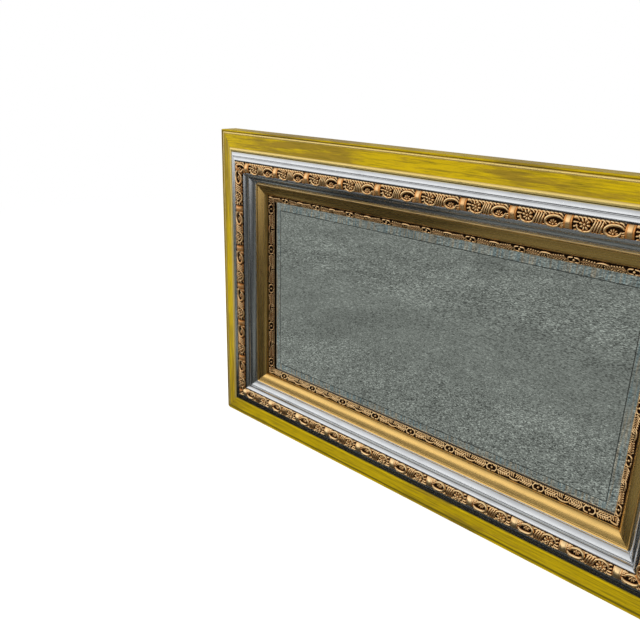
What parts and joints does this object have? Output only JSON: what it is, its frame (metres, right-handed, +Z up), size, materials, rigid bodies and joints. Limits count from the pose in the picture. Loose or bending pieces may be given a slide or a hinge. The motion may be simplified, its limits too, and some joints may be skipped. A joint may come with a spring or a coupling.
{
  "type": "framed wall mirror",
  "caption": "Landscape wall mirror with a bevelled glass in a wide ogee frame of painted, silver and gold mouldings with carved ornament strips, hung from D-rings on its back.",
  "frame": {"origin": "middle of the back panel's rear face, which faces the wall", "axes": "+X along the frame's long sides, +Z up, +Y towards the wall; the glass faces -Y"},
  "size_m": [1.2258, 0.0715, 0.7684],
  "materials": {
    "green_over_gold": "wood with a brushed yellow green glaze over gold",
    "silver_leaf": "wood with burnished silver leaf",
    "copper_gold": "cast composition in copper gold leaf with dark recesses",
    "gold_leaf": "wood with burnished gold leaf",
    "small_ornament_gold": "cast composition in gold leaf with dark recesses",
    "silvered_glass": "clear float glass silvered on its back",
    "grey_board": "grey board",
    "hardboard": "brown hardboard, smooth side out",
    "zinc_steel": "zinc plated",
    "ring_steel": "zinc plated wire",
    "nail_steel": "bright steel",
    "block_rubber": "black rubber",
    "felt": "brown pressed felt"
  },
  "bodies": {
    "frame": {"outer_rail_bottom": "green_over_gold", "reeded_rail_bottom": "silver_leaf", "ornament_strip_bottom": "copper_gold", "gilt_liner_bottom": "gold_leaf", "sight_strip_bottom": "small_ornament_gold", "outer_rail_right": "green_over_gold", "reeded_rail_right": "silver_leaf", "ornament_strip_right": "copper_gold", "gilt_liner_right": "gold_leaf", "sight_strip_right": "small_ornament_gold", "outer_rail_top": "green_over_gold", "reeded_rail_top": "silver_leaf", "ornament_strip_top": "copper_gold", "gilt_liner_top": "gold_leaf", "sight_strip_top": "small_ornament_gold", "outer_rail_left": "green_over_gold", "reeded_rail_left": "silver_leaf", "ornament_strip_left": "copper_gold", "gilt_liner_left": "gold_leaf", "sight_strip_left": "small_ornament_gold", "mirror_glass": "silvered_glass", "filler_board": "grey_board", "back_panel": "hardboard", "panel_screws": "zinc_steel", "joining_plates": "zinc_steel", "plate_screws": "zinc_steel", "v_nails_outer": "nail_steel", "v_nails_reeded": "nail_steel", "v_nails_liner": "nail_steel", "setting_blocks": "block_rubber", "hanger_strap_left": "zinc_steel", "wall_bumper_left": "felt", "hanger_strap_right": "zinc_steel", "wall_bumper_right": "felt", "hanger_screws": "zinc_steel"},
    "ring_left": {"d_ring_left": "ring_steel"},
    "ring_right": {"d_ring_right": "ring_steel"}
  },
  "joints": [
    {"name": "ring_left_swing", "type": "hinge", "parent": "frame", "child": "ring_left", "pos_m": [-0.59235, 0.0003, 0.18425], "axis": [1, 0, 0], "range_deg": [0, 180]},
    {"name": "ring_right_swing", "type": "hinge", "parent": "frame", "child": "ring_right", "pos_m": [0.59235, 0.0003, 0.18425], "axis": [1, 0, 0], "range_deg": [0, 180]}
  ]
}
